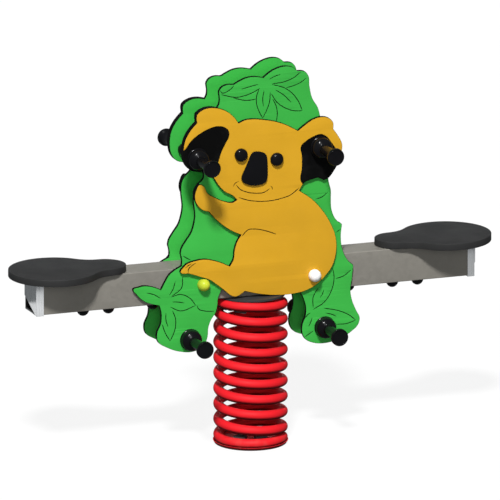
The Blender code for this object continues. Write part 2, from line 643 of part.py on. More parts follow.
def add_panel_fixings(facing, word, finishes, rocker):
    """Grips, pegs, their bolts' caps inside the tree sheet, eye caps and beam bolt caps."""
    outward = (-facing * math.pi / 2, 0, 0)
    inward = (facing * math.pi / 2, 0, 0)
    cap = dome_profile(CAP_RADIUS, CAP_SKIRT, CAP_HEIGHT)
    grip = [(radius * MM, height * MM) for radius, height in GRIP_PROFILE]
    fittings = (("hand_grip", HAND_GRIPS, KOALA_OUTER_Y), ("foot_peg", FOOT_PEGS, TREE_OUTER_Y))
    for kind, spots, face in fittings:
        for hand, (x, z) in zip(("left", "right"), spots):
            mesh = turned_mesh(f"{kind}_{word}_{hand}", grip, ROUND_SIDES)
            position = (x, facing * (face + GAP), z)
            add_piece(mesh.name, mesh, finishes["black"], position, outward, rocker)
            shank = face - TREE_INNER_Y + GRIP_BOLT_REACH
            bolt = capped_bolt_mesh(f"{kind}_bolt_{word}_{hand}", cap, M10_RADIUS, shank)
            position = (x, facing * (TREE_INNER_Y - GAP), z)
            add_piece(bolt.name, bolt, finishes["black"], position, inward, rocker)

    eye = dome_profile(EYE_RADIUS, EYE_SKIRT, EYE_HEIGHT)
    for hand, (x, z) in zip(("left", "right"), EYES):
        mesh = capped_bolt_mesh(f"eye_cap_{word}_{hand}", eye, EYE_SCREW_RADIUS, EYE_SCREW_LENGTH)
        position = (x, facing * (KOALA_OUTER_Y + GAP), z)
        add_piece(mesh.name, mesh, finishes["black"], position, outward, rocker)

    ends = (("left", TREE_OUTER_Y, finishes["lime"]), ("right", KOALA_OUTER_Y, finishes["white"]))
    for x, (hand, face, finish) in zip(BEAM_BOLTS_X, ends):
        mesh = hollow_cap_mesh(f"beam_bolt_cap_{word}_{hand}", cap, M10_RADIUS + BORE_CLEARANCE,
                               CAP_BORE_DEPTH)
        position = (x, facing * (face + GAP), BEAM_MIDDLE)
        add_piece(mesh.name, mesh, finish, position, outward, rocker)


def add_beam_bolts(finish, rocker):
    """The two rods that clamp the panels to the beam, with their ends inside the outer caps."""
    for x, hand, face in zip(BEAM_BOLTS_X, ("left", "right"), (TREE_OUTER_Y, KOALA_OUTER_Y)):
        half = face + GAP + CAP_GRIP
        rod = ((0, -half), (M10_RADIUS, -half), (M10_RADIUS, half), (0, half))
        mesh = turned_mesh(f"beam_bolt_{hand}", rod, ROUND_SIDES)
        position = (x, 0, BEAM_MIDDLE)
        add_piece(mesh.name, mesh, finish, position, (math.pi / 2, 0, 0), rocker)


def make_finishes():
    return {
        "red": make_finish("spring_red_powder_coat", (0.78, 0.01, 0.02), 0.28),
        "grey": make_finish("plate_grey_powder_coat", (0.06, 0.06, 0.06), 0.5),
        "steel": make_finish("zinc_plated_steel", (0.55, 0.56, 0.57), 0.35, 1.0),
        "galvanised": make_finish("galvanised_beam", (0.29, 0.28, 0.25), 0.5, 0.6),
        "bright": make_finish("bright_end_cap", (0.62, 0.63, 0.65), 0.3, 1.0),
        "seat": make_finish("seat_charcoal", (0.045, 0.045, 0.045), 0.7),
        "tree": make_finish("green_panel", (0.05, 0.46, 0.07), 0.45),
        "koala": make_finish("orange_panel", (0.70, 0.37, 0.02), 0.45),
        "black": make_finish("black_plastic", (0.012, 0.012, 0.012), 0.35),
        "white": make_finish("white_cap", (0.85, 0.84, 0.80), 0.35),
        "lime": make_finish("lime_cap", (0.45, 0.62, 0.06), 0.35),
    }


clear_scene()
finishes = make_finishes()
sway = add_pivot("sway_hinge", SWAY_HINGE_Z)
rocker = add_pivot("rock_hinge", ROCK_HINGE_Z, sway)

add_dish(finishes["red"])
add_spring(finishes["red"], sway)
add_clamps(finishes, rocker)
add_top_plate(finishes, rocker)
add_beam(finishes["galvanised"], rocker)
add_end_caps(finishes["bright"], rocker)
add_seats(finishes["seat"], rocker)
add_underside_bolts(finishes["black"], rocker)
add_beam_bolts(finishes["steel"], rocker)
for facing, word in ((-1, "front"), (1, "rear")):
    add_panels(facing, word, finishes, rocker)
    add_panel_fixings(facing, word, finishes, rocker)
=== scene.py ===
"""The looks of the spring seesaw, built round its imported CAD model.

Metres, +Z up, in the CAD's own frame: +X runs along the beam and -Y is the front. The rear panels and
their fittings mirror the front ones. The clamps, the top plate, the end caps and the steel bolts keep
their CAD shape with rounded edges. Every other piece is rebuilt here with its real edges, grooves and
grain.
"""

import json
import math

import bmesh
import bpy
from mathutils import Matrix, Vector
from mathutils.geometry import interpolate_bezier

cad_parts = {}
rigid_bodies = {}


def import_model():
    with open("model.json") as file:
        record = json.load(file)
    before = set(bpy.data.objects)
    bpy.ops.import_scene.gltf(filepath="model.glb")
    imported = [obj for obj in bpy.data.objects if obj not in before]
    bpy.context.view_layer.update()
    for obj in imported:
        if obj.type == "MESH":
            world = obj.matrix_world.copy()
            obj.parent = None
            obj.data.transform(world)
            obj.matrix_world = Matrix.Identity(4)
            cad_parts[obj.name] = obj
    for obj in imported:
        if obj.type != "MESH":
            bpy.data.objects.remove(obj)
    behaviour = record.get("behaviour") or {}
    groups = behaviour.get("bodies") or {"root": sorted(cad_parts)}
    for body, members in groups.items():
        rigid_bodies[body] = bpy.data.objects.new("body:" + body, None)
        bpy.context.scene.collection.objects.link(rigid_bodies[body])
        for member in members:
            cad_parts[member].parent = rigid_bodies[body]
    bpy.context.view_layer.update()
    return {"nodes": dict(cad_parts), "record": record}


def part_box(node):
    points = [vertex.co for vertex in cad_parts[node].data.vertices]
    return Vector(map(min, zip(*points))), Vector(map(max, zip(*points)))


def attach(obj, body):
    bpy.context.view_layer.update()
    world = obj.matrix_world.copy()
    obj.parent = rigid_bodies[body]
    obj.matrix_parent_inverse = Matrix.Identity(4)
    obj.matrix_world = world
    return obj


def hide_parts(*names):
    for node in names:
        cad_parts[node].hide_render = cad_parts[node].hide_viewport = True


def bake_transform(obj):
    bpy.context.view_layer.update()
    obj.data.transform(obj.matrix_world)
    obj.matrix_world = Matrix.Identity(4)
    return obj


for leftover in list(bpy.data.objects):
    bpy.data.objects.remove(leftover)
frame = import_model()

MM = 0.001
OVERCUT = 1 * MM  # how far a cutter starts outside the face that it enters
TOUCHING = 0.01 * MM  # points closer than this count as one
Y_AXIS, Z_AXIS = 1, 2
FRONT, REAR = -1, 1  # which way along Y a side faces
SIDES = ((FRONT, "front"), (REAR, "rear"))

# Sheets: outlines are smooth between inward creases
OUTLINE_STEP = 2.4 * MM
CREASE = math.radians(33)
PANEL_EDGE = 1 * MM  # radius that the routed edge of a panel is rounded to
NOSE_EDGE = 1.5 * MM
EDGE_STEPS = 3
SHEET_WELD = 0.001 * MM  # points of a sheet's mesh closer than this are joined
FLAT_FACE = 0.995  # a sheet's face counts as flat when its normal's Z is over this
CORE_SLOT = 1  # the core's place among a sheet's materials
SEAT_CHAMFER = 2 * MM  # the CAD seat's chamfer
SEAT_EDGE = 1.5 * MM
SEAT_BORE_DEPTH = 14 * MM
GROOVE_RADIUS = 1.2 * MM
GROOVE_POINT = 0.35  # a groove's radius at its ends, as a share of its full one
GROOVE_TAPER = 8 * MM  # the length at each end over which a groove grows to its full radius
GROOVE_SIDES = 8
POCKET_DEPTH = 1.5 * MM

# Coil spring, wound left-handed from one bar, with both end turns closed and flat
WIRE_RADIUS = 13.5 * MM
COIL_PITCH = 43.4 * MM
CLOSED_SWEEP = math.radians(138)
TOP_FLAT_END = math.radians(250)
COIL_EASE = math.radians(12)  # either side of a corner, the turn over which its bend is spread
COIL_NUDGE = 0.01  # radians either side of a point that the bar's direction is measured over
COIL_STEPS_PER_TURN = 80
COIL_SIDES = 24
COIL_SPLIT_Z = 210 * MM  # the spring bends about one hinge below this height and another above it

ROUND_SIDES = 64
M10_RADIUS = 5 * MM
M10_BORE_RADIUS = 5.3 * MM
CAP_RADIUS = 17 * MM
CAP_SKIRT = 6 * MM
CAP_HEIGHT = 24 * MM
CAP_BORE_DEPTH = 12 * MM
EYE_RADIUS = 18.5 * MM
EYE_SKIRT = 3.75 * MM
EYE_HEIGHT = 15 * MM
EYE_SCREW_RADIUS = 4 * MM
DOME_STEPS = 14
CAP_LIP = 1 * MM  # height of the small rounding at a cap's rim

# Fillets of turned profiles
FILLET_SHARE = 0.48  # of the shorter side that a fillet may use up
FILLET_STEP = 12  # degrees of turn for each step
ARC_HANDLE = 0.55  # a curve's handle that makes it close to round, as a share of its reach
TURNED_SMOOTHING = 30  # degrees, over which an edge of a turned piece stays sharp

BEAM_WALL = 4 * MM
BEAM_CORNER = 2.5 * MM
HARDWARE_EDGE = 0.5 * MM  # the bevel on whatever keeps its CAD shape

FLOOR_RADIUS = 40  # metres
FLOOR_DROP = 0.2 * MM  # how far below the ground plate the floor is

# Parallel view, in metres. An azimuth is in degrees round from the front, positive to the right.
CAMERA_AZIMUTH = -20
CAMERA_ELEVATION = 14.75
VIEW_WIDTH = 1.3568
VIEW_CENTRE = (-0.0013, 0.0005, 0.5388)
LENS = 1500  # millimetres
CLIP_END = 200

WORLD_COLOUR = (0.92, 0.97, 1.0, 1)
WORLD_STRENGTH = 0.18

# Suns, as (name, azimuth, elevation, strength, softness in degrees, whether reflections show it)
SUNS = (
    ("key", -25, 50, 3.65, 7, True),
    ("fill", CAMERA_AZIMUTH, CAMERA_ELEVATION, 0.62, 24, False),
    ("back", CAMERA_AZIMUTH + 180, 8, 1.8, 40, False),
)

# Lit cards for the end caps' bright steel to reflect, as (hand, which way along X, brightness). Each
# cap has one for its front flange and one for its end plate. The right end plate faces away from the
# camera, so its card doesn't show.
CARDS = (("left", -1, 0.75), ("right", 1, 0.33))
CARD_DISTANCE = 120 * MM
FLANGE_CARD = 80 * MM
FLANGE_SPOT = (11 * MM, 30 * MM)  # in from the cap's end, and up from its lower edge
END_CARD = 50 * MM
END_SPOT = (10 * MM, 12 * MM)  # back from the cap's front, and up from its lower edge

# Turned profiles, as (radius, height, fillet) corners in millimetres from the mounting face
GRIP = (
    (0, 60, 0), (5.3, 60, 0), (5.3, 0, 0.4), (30, 0, 0.6), (30, 4.5, 1), (28.6, 5.5, 0.4),
    (28.6, 21.5, 25), (14.2, 29.9, 2), (13.8, 60, 30), (14.2, 97, 12), (17, 107, 7),
    (24, 113, 3), (24, 121, 1.5), (21.5, 125, 1.2), (20, 122.6, 0.8), (0, 123, 0),
)
GRIP_LENGTH = max(height for _, height, _ in GRIP) * MM
DISH = (
    (0, 0, 0), (98, 0, 3), (103, 9, 1.1), (100.6, 9, 1.1), (97.6, 3, 2), (0, 3, 0),
)

# Grooves in the tree's green face, as (x, z) points in millimetres
TREE_GROOVES = (
    ((-105, 996), (-58, 985), (-17, 993), (7, 1004)),
    ((-106, 1008), (-104, 1002), (-98, 1000), (-86, 1004), (-76, 1010), (-68, 1018)),
    ((-46, 1006), (-24, 1011), (2, 1016)),
    ((-70, 984), (-33, 974), (-3, 975)),
    ((4, 1001), (-2, 985), (-3, 964), (4, 941), (15, 920)),
    ((15, 920), (25, 939), (34, 962), (37, 991)),
    ((19, 997), (15, 973), (17, 953)),
    ((44, 971), (54, 950), (57, 930), (54, 906)),
    ((42, 1012), (80, 998), (105, 977), (121, 952), (129, 931)),
    ((40, 986), (56, 961), (80, 943), (105, 933), (129, 931)),
    ((52, 996), (76, 979), (97, 957)),
    ((42, 1014), (74, 1016), (101, 1024), (125, 1040)),
    ((34, 1027), (50, 1034), (66, 1038)),
    ((82, 999), (106, 1004), (125, 1011), (141, 1022)),
    ((-320, 461), (-298, 454), (-280, 442)),
    ((-216, 496), (-218, 468), (-247, 445)),
    ((-237, 486), (-242, 468), (-254, 448)),
    ((-249, 443), (-223, 448), (-194, 434), (-178, 413)),
    ((-251, 415), (-223, 402), (-178, 413)),
    ((-245, 429), (-228, 427), (-211, 423)),
    ((-275, 369), (-264, 340), (-252, 320)),
    ((-245, 405), (-236, 379), (-240, 345), (-252, 320)),
    ((-264, 400), (-264, 380), (-258, 360)),
    ((-175, 413), (-170, 403), (-151, 395), (-125, 392)),
    ((161, 376), (161, 406), (175, 430)),
    ((161, 371), (192, 388), (214, 420), (221, 462), (217, 482)),
    ((181, 402), (188, 413), (192, 424)),
    ((192, 372), (237, 360), (268, 344), (284, 330)),
    ((228, 323), (259, 323), (284, 330)),
    ((197, 358), (213, 353), (228, 346)),
    ((153, 363), (142, 355), (133, 344)),
    ((158, 348), (154, 336), (148, 325)),
    ((137, 296), (150, 304), (161, 310)),
    ((226, 452), (248, 457), (270, 472)),
    ((167, 680), (187, 685), (203, 697)),
    ((227, 581), (234, 586), (240, 589)),
    ((-215, 555), (-205, 549), (-192, 541)),
)
KOALA_GROOVES = (
    ((-65, 743), (-54, 730), (-36, 721), (-10, 715), (14, 715), (32, 724)),
    ((-73, 740), (-68, 748), (-58, 752)),
    ((34, 732), (38, 727), (39, 720)),
    ((-58, 707), (-26, 696), (4, 691), (34, 690), (65, 694), (91, 701), (110, 714), (116, 719)),
    ((-49, 598), (-29, 615), (-13, 615), (20, 607), (50, 595)),
    ((-181, 535), (-195, 527), (-203, 518), (-203, 508)),
    ((-193, 534), (-203, 530), (-212, 523)),
)

# Pockets that are cut through the koala's ears to the black core, as (x, z) points in millimetres.
# Where a pocket runs off the ear's lower edge its outline goes past the edge.
EAR_POCKETS = (
    ((-211, 857), (-194, 878), (-172, 894), (-150, 905), (-120, 912), (-102, 909), (-86, 895),
     (-86, 879), (-95, 862), (-107, 839), (-115, 816), (-123, 793), (-132, 768), (-186, 768),
     (-231, 798), (-234, 833)),
    ((122, 836), (137, 849), (159, 860), (180, 864), (193, 858), (210, 838), (222, 820),
     (231, 803), (247, 790), (250, 765), (232, 735), (205, 720), (170, 722), (150, 722),
     (132, 724), (122, 735), (124, 774), (124, 806)),
)


# ---------------------------------------------------------------- materials


class Finish:
    """A Principled material whose detail is laid out in the piece's own space, in metres."""

    def __init__(self, name, sockets):
        self.material = bpy.data.materials.new(name)
        self.material.use_nodes = True
        self.tree = self.material.node_tree
        self.shader = self.tree.nodes["Principled BSDF"]
        for socket, value in sockets.items():
            self.shader.inputs[socket].default_value = value
        self.place = self.node("ShaderNodeTexCoord").outputs["Object"]

    def node(self, kind, **inputs):
        node = self.tree.nodes.new(kind)
        for name, value in inputs.items():
            self.put(node.inputs[name.replace("_", " ")], value)
        return node

    def put(self, socket, value):
        if isinstance(value, bpy.types.NodeSocket):
            self.tree.links.new(value, socket)
        else:
            socket.default_value = value

    def stretched(self, stretch):
        return self.node("ShaderNodeMapping", Vector=self.place, Scale=stretch).outputs["Vector"]

    def noise(self, scale, detail=2.0, stretch=(1, 1, 1)):
        place = self.stretched(stretch)
        return self.node("ShaderNodeTexNoise", Vector=place, Scale=scale, Detail=detail).outputs["Fac"]

    def cells(self, scale):
        """One random grey for each crystal-like cell."""
        colour = self.node("ShaderNodeTexVoronoi", Vector=self.place, Scale=scale).outputs["Color"]
        return self.node("ShaderNodeSeparateColor", Color=colour).outputs["Red"]

    def ramp(self, value, low, high, start, end):
        """The value's range from low to high, stretched onto start to end and clamped there."""
        inputs = {"Value": value, "From_Min": low, "From_Max": high, "To_Min": start, "To_Max": end}
        return self.node("ShaderNodeMapRange", **inputs).outputs["Result"]

    def mix(self, factor, first, second):
        node = self.tree.nodes.new("ShaderNodeMix")
        node.data_type = "RGBA"
        self.put(node.inputs["Factor"], factor)
        for socket, value in zip((s for s in node.inputs if s.type == "RGBA"), (first, second)):
            self.put(socket, value if isinstance(value, bpy.types.NodeSocket) else (*value, 1.0))
        return next(s for s in node.outputs if s.type == "RGBA")

    def colour(self, value):
        self.put(self.shader.inputs["Base Color"], value)

    def roughness(self, value):
        self.put(self.shader.inputs["Roughness"], value)

    def bump(self, *layers):
        """Each layer is (height, distance in metres, strength)."""
        normal = None
        for height, distance, strength in layers:
            node = self.node("ShaderNodeBump", Height=height, Distance=distance, Strength=strength)
            if normal:
                self.put(node.inputs["Normal"], normal)
            normal = node.outputs["Normal"]
        self.put(self.shader.inputs["Normal"], normal)


def shade(colour, factor):
    """The colour made darker by a factor under 1, or lighter by one over 1."""
    return tuple(min(1.0, part * factor) for part in colour)


def sheet_plastic(name, colour):
    """The coloured face of a two-colour polyethylene sheet: pebbled, faintly mottled and scuffed."""
    finish = Finish(name, {"Specular IOR Level": 0.35})
    mottle = finish.ramp(finish.noise(7, 4), 0.3, 0.7, 0, 1)
    base = finish.mix(mottle, shade(colour, 0.93), shade(colour, 1.04))
    scuffs = finish.ramp(finish.noise(55, 3, (1, 1, 9)), 0.62, 0.8, 0, 0.16)
    finish.colour(finish.mix(scuffs, base, shade(colour, 1.35)))
    finish.roughness(finish.ramp(finish.noise(20, 3), 0.3, 0.7, 0.42, 0.55))
    finish.bump((finish.noise(1100, 2), 0.12 * MM, 0.35), (finish.noise(30, 2), 0.4 * MM, 0.12))
    return finish.material


def core_plastic(name):
    """The sheet's black core where a cutter has laid it open, with the cutter's marks across the edge."""
    finish = Finish(name, {"Specular IOR Level": 0.06})
    wear = finish.ramp(finish.noise(24, 4), 0.45, 0.75, 0, 1)
    finish.colour(finish.mix(wear, (0.003, 0.003, 0.003), (0.008, 0.008, 0.008)))
    finish.roughness(finish.ramp(finish.noise(60, 2), 0.3, 0.7, 0.55, 0.7))
    finish.bump((finish.noise(420, 2, (1, 0.04, 1)), 0.15 * MM, 0.4))
    return finish.material


def moulded_plastic(name, colour, roughness, gloss=0.25):
    """A moulded fitting: a fine spark-eroded grain, and places that hands have polished."""
    finish = Finish(name, {"Specular IOR Level": gloss})
    handled = finish.ramp(finish.noise(35, 3), 0.35, 0.7, 0, 1)
    finish.colour(finish.mix(handled, colour, shade(colour, 1.25)))
    finish.roughness(finish.ramp(finish.noise(28, 2), 0.3, 0.7, roughness - 0.05, roughness + 0.08))
    finish.bump((finish.noise(1600, 1), 0.06 * MM, 0.3))
    return finish.material


def seat_plastic(name, colour):
    """Charcoal seat board with a non-slip grain, rubbed a little smoother in patches."""
    finish = Finish(name, {"Specular IOR Level": 0.3})
    rubbed = finish.ramp(finish.noise(9, 3), 0.35, 0.65, 0, 1)
    specks = finish.ramp(finish.noise(900, 1), 0.6, 0.75, 0, 0.25)
    base = finish.mix(rubbed, shade(colour, 0.9), shade(colour, 1.1))
    finish.colour(finish.mix(specks, base, shade(colour, 1.9)))
    finish.roughness(finish.ramp(rubbed, 0, 1, 0.66, 0.52))
    finish.bump((finish.noise(750, 2), 0.3 * MM, 0.5))
    return finish.material


def powder_coat(name, colour, roughness):
    """Powder-coated steel: orange peel, a few dull chips, painted shade on the undersides and dust low
    down.
    """
    finish = Finish(name, {"Specular IOR Level": 0.2})
    tone = finish.mix(finish.ramp(finish.noise(14, 3), 0.3, 0.7, 0, 1), shade(colour, 0.92), colour)
    chips = finish.ramp(finish.noise(160, 2), 0.735, 0.75, 0, 0.75)
    painted = finish.mix(chips, tone, shade(colour, 0.35))
    height = finish.node("ShaderNodeSeparateXYZ", Vector=finish.place).outputs["Z"]
    low = finish.node("ShaderNodeMath", Value=finish.ramp(height, 0.004, 0.05, 1, 0))
    low.operation = "MULTIPLY"
    finish.put(low.inputs[1], finish.ramp(finish.noise(45, 4), 0.45, 0.75, 0, 0.22))
    dusty = finish.mix(low.outputs["Value"], painted, (0.32, 0.27, 0.21))
    # Painted shade: the further a face points down, the nearer its colour is taken to black.
    facing = finish.node("ShaderNodeNewGeometry").outputs["Normal"]
    upward = finish.node("ShaderNodeSeparateXYZ", Vector=facing).outputs["Z"]
    painted_underside_shade = finish.ramp(upward, -0.12, -0.55, 0, 0.97)
    finish.colour(finish.mix(painted_underside_shade, dusty, shade(colour, 0.04)))
    finish.roughness(finish.ramp(finish.noise(22, 3), 0.3, 0.7, roughness, roughness + 0.12))
    finish.bump((finish.noise(420, 1), 0.12 * MM, 0.25))
    return finish.material


def galvanised_steel(name, colour):
    """Dull hot-dip galvanising: crystals of slightly different grey, and long faint drawing marks."""
    finish = Finish(name, {"Metallic": 0.1})
    spangle = finish.cells(95)
    base = finish.mix(spangle, shade(colour, 0.95), shade(colour, 1.05))
    cloud = finish.ramp(finish.noise(6, 4), 0.35, 0.7, 0, 0.3)
    finish.colour(finish.mix(cloud, base, shade(colour, 0.9)))
    finish.roughness(finish.ramp(spangle, 0, 1, 0.44, 0.6))
    finish.bump((finish.noise(300, 2, (0.03, 1, 1)), 0.1 * MM, 0.25), (spangle, 0.05 * MM, 0.3))
    return finish.material


def brushed_steel(name, colour, roughness, stretch):
    """Bright sheet steel with brushing marks along the axis that stretch makes long."""
    finish = Finish(name, {"Metallic": 0.85})
    streaks = finish.noise(500, 3, stretch)
    finish.colour(finish.mix(finish.ramp(streaks, 0.35, 0.65, 0, 1), shade(colour, 0.8), colour))
    finish.roughness(finish.ramp(streaks, 0.3, 0.7, roughness, roughness + 0.14))
    finish.bump((streaks, 0.08 * MM, 0.3))
    return finish.material


def make_materials():
    return {
        "tree_green": sheet_plastic("tree_green_sheet", (0.045, 0.46, 0.062)),
        "koala_orange": sheet_plastic("koala_orange_sheet", (0.70, 0.37, 0.016)),
        "core": core_plastic("sheet_core_black"),
        "black_plastic": moulded_plastic("black_moulding", (0.005, 0.005, 0.006), 0.17, 0.14),
        "white_cap": moulded_plastic("white_moulding", (0.93, 0.92, 0.90), 0.35),
        "lime_cap": moulded_plastic("lime_moulding", (0.50, 0.58, 0.035), 0.35),
        "seat_grey": seat_plastic("seat_charcoal_grain", (0.026, 0.026, 0.026)),
        "spring_red": powder_coat("spring_red_powder_coat", (0.80, 0.012, 0.020), 0.55),
        "plate_grey": powder_coat("plate_grey_powder_coat", (0.045, 0.045, 0.047), 0.4),
        "galvanised": galvanised_steel("beam_galvanised", (0.25, 0.235, 0.205)),
        # Painted shade: a near-black copy of the galvanising for the beam's inside and the ends of its
        # wall.
        "beam_inside": galvanised_steel("beam_bore_painted_shade", (0.02, 0.02, 0.02)),
        "bright_cap": brushed_steel("end_cap_brushed", (0.82, 0.83, 0.84), 0.16, (1, 1, 0.04)),
        "zinc_steel": brushed_steel("zinc_plated", (0.62, 0.63, 0.64), 0.3, (1, 1, 1)),
    }


# ---------------------------------------------------------------- shapes


def add_piece(name, mesh, slot, body, nodes):
    """A new piece that stands for some CAD nodes and rides on their body."""
    if not mesh.materials:
        mesh.materials.append(materials[slot])
    piece = bpy.data.objects.new(name, mesh)
    bpy.context.scene.collection.objects.link(piece)
    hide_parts(*nodes)
    if body:
        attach(piece, body)
    return piece


def shaded(mesh, angle=35):
    """The mesh shaded smooth, except across edges that turn by more than the angle in degrees."""
    mesh.shade_smooth()
    mesh.set_sharp_from_angle(angle=math.radians(angle))
    return mesh


def cut(mesh, cutter):
    """The mesh without what the cutter's closed bodies cover. Cut faces keep the cutter's material."""
    tool = bpy.data.objects.new("cutter", cutter)
    carrier = bpy.data.objects.new("carrier", mesh)
    for thing in (tool, carrier):
        bpy.context.scene.collection.objects.link(thing)
    boolean = carrier.modifiers.new("boolean", "BOOLEAN")
    boolean.operation = "DIFFERENCE"
    boolean.solver = "EXACT"
    boolean.use_self = True
    boolean.object = tool
    graph = bpy.context.evaluated_depsgraph_get()
    result = bpy.data.meshes.new_from_object(carrier.evaluated_get(graph))
    for thing in (tool, carrier):
        bpy.data.objects.remove(thing)
    return result


def mesh_from(shape, name, *finishes):
    """The mesh of a bmesh shape, which is used up, with outward normals and those materials."""
    bmesh.ops.recalc_face_normals(shape, faces=shape.faces)
    mesh = bpy.data.meshes.new(name)
    shape.to_mesh(mesh)
    shape.free()
    for finish in finishes:
        mesh.materials.append(materials[finish])
    return mesh


def add_tube(shape, rings, finish=0):
    """Joins rings of points into a closed tube with flat ends."""
    rings = [[shape.verts.new(point) for point in ring] for ring in rings]
    faces = [shape.faces.new(rings[0]), shape.faces.new(reversed(rings[-1]))]
    for near, far in zip(rings, rings[1:]):
        for index, point in enumerate(near):
            faces.append(shape.faces.new((near[index - 1], point, far[index], far[index - 1])))
    for face in faces:
        face.material_index = finish


def circle(centre, across, other, radius, sides):
    """Points round a circle in the plane of two perpendicular unit vectors."""
    turns = [2 * math.pi * index / sides for index in range(sides)]
    return [centre + radius * (math.cos(turn) * across + math.sin(turn) * other) for turn in turns]


def add_bore(shape, start, end, radius, finish=0):
    """A round cutter from start to end."""
    axis = (end - start).normalized()
    across = axis.orthogonal().normalized()
    other = axis.cross(across)
    rings = [circle(point, across, other, radius, ROUND_SIDES // 2) for point in (start, end)]
    add_tube(shape, rings, finish)


def filleted(corners):
    """The (radius, height) points of a profile whose (radius, height, fillet) corners are rounded."""
    points = [Vector(corner[:2]) for corner in corners]
    profile = [points[0]]
    for before, here, after, (_, _, fillet) in zip(points, points[1:], points[2:], corners[1:]):
        if fillet == 0:
            profile.append(here)
            continue
        back, ahead = before - here, after - here
        turn = math.pi - back.angle(ahead)
        reach = min(fillet * math.tan(turn / 2), FILLET_SHARE * min(back.length, ahead.length))
        start, end = here + reach * back.normalized(), here + reach * ahead.normalized()
        steps = max(2, math.ceil(math.degrees(turn) / FILLET_STEP))
        handle = ARC_HANDLE * reach
        profile += interpolate_bezier(start, start - handle * back.normalized(),
                                      end - handle * ahead.normalized(), end, steps + 1)
    profile.append(points[-1])
    return [(point.x * MM, point.y * MM) for point in profile]


def turned(name, profile, sides=ROUND_SIDES):
    """Turns (radius, height) points about Z. The profile starts and ends on the axis."""
    shape = bmesh.new()
    rings = []
    for radius, height in profile:
        if radius == 0:
            rings.append([shape.verts.new((0, 0, height))] * sides)
        else:
            ring = circle(Vector((0, 0, height)), Vector((1, 0, 0)), Vector((0, 1, 0)), radius, sides)
            rings.append([shape.verts.new(point) for point in ring])
    for lower, upper in zip(rings, rings[1:]):
        for index in range(sides):
            corners = (lower[index - 1], lower[index], upper[index], upper[index - 1])
            shape.faces.new(list(dict.fromkeys(corners)))
    return shaded(mesh_from(shape, name), TURNED_SMOOTHING)


def dome(radius, skirt, height):
    """The outside of a round cap, from its rim at height 0 over a quarter ellipse to the axis."""
    turns = [math.pi / 2 * index / DOME_STEPS for index in range(DOME_STEPS)]
    crown = [(radius * math.cos(turn), skirt + (height - skirt) * math.sin(turn)) for turn in turns]
    rim = [(radius - 0.6 * CAP_LIP, 0.0), (radius - 0.2 * CAP_LIP, 0.25 * CAP_LIP), (radius, CAP_LIP)]
    return [*rim, *crown, (0, height)]


# ---------------------------------------------------------------- sheets


def face_loops(node, axis, level):
    """The outlines of a CAD node's flat face at that level along an axis, most points first.

    Each is a closed loop of 2D points in the plane of the other two axes.
    """
    plane = [index for index in range(3) if index != axis]
    mesh = frame["nodes"][node].data
    edges = set()
    for face in mesh.polygons:
        points = [mesh.vertices[index].co for index in face.vertices]
        if all(abs(point[axis] - level) < TOUCHING for point in points):
            keys = [tuple(round(point[index], 5) for index in plane) for point in points]
            edges.update(zip(keys, keys[1:] + keys[:1]))
    following = {start: end for start, end in edges if (end, start) not in edges}
    loops = []
    while following:
        loop = [min(following)]
        while loop[-1] in following:
            loop.append(following.pop(loop[-1]))
        loops.append([Vector(point) for point in loop[:-1]])
    return sorted(loops, key=len, reverse=True)


def hole_circle(loop):
    """The centre and the radius of a round hole's outline."""
    centre = sum(loop, Vector((0, 0))) / len(loop)
    return centre, max((point - centre).length for point in loop)


def smooth_curve(knots, closed):
    """Closely spaced points along a smooth curve through the knots, without an open one's last."""
    count = len(knots)
    tangents = []
    for index, knot in enumerate(knots):
        back = knot - knots[index - 1] if closed or index > 0 else None
        ahead = knots[(index + 1) % count] - knot if closed or index < count - 1 else None
        if back and ahead:
            slope = back.normalized() * ahead.length + ahead.normalized() * back.length
        else:
            slope = back or ahead
        tangents.append(slope.normalized())
    points = []
    for index in range(count if closed else count - 1):
        after = (index + 1) % count
        start, end = knots[index], knots[after]
        reach = (end - start).length / 3
        steps = max(1, round((end - start).length / OUTLINE_STEP))
        points += interpolate_bezier(start, start + tangents[index] * reach,
                                     end - tangents[after] * reach, end, steps + 1)[:-1]
    return points


def smooth_outline(loop):
    """The loop as smooth curves between the creases where it turns sharply inwards."""
    count = len(loop)
    turns = []
    for index, point in enumerate(loop):
        into, out = point - loop[index - 1], loop[(index + 1) % count] - point
        turns.append(into.angle_signed(out))
    inward = -math.copysign(1, sum(turns))
    creases = [index for index, turn in enumerate(turns) if turn * inward > CREASE]
    if not creases:
        return smooth_curve(loop, True)
    points = []
    for start, end in zip(creases, creases[1:] + [creases[0] + count]):
        points += smooth_curve([loop[index % count] for index in range(start, end + 1)], False)
    return points


def sheet_mesh(name, outline, thickness, edge, inset, finishes, two_sided=False):
    """A sheet with rounded edges, flat in X-Y and centred on Z = 0.

    The first finish is for its top, and for its underside too if it's two-sided. The last is for the rest.
    """
    curve = bpy.data.curves.new(name, "CURVE")
    curve.dimensions = "2D"
    curve.fill_mode = "BOTH"
    curve.extrude = thickness / 2 - edge
    curve.bevel_depth = edge
    curve.bevel_resolution = EDGE_STEPS
    curve.offset = -inset
    spline = curve.splines.new("POLY")
    spline.points.add(len(outline) - 1)
    spline.use_cyclic_u = True
    for place, point in zip(spline.points, outline):
        place.co = (point[0], point[1], 0, 1)
    carrier = bpy.data.objects.new(name, curve)
    mesh = bpy.data.meshes.new_from_object(carrier)
    bpy.data.objects.remove(carrier)
    shape = bmesh.new()
    shape.from_mesh(mesh)
    bmesh.ops.remove_doubles(shape, verts=shape.verts, dist=SHEET_WELD)
    bmesh.ops.recalc_face_normals(shape, faces=shape.faces)
    for face in shape.faces:
        flatness = abs(face.normal.z) if two_sided else face.normal.z
        face.material_index = 0 if flatness > FLAT_FACE else len(finishes) - 1
    shape.to_mesh(mesh)
    shape.free()
    for finish in finishes:
        mesh.materials.append(materials[finish])
    return mesh


def upright(mesh, y):
    """Stands a sheet that lies in X-Y up in X-Z, centred on that y."""
    mesh.transform(Matrix(((1, 0, 0, 0), (0, 0, -1, y), (0, 1, 0, 0), (0, 0, 0, 1))))
    return mesh


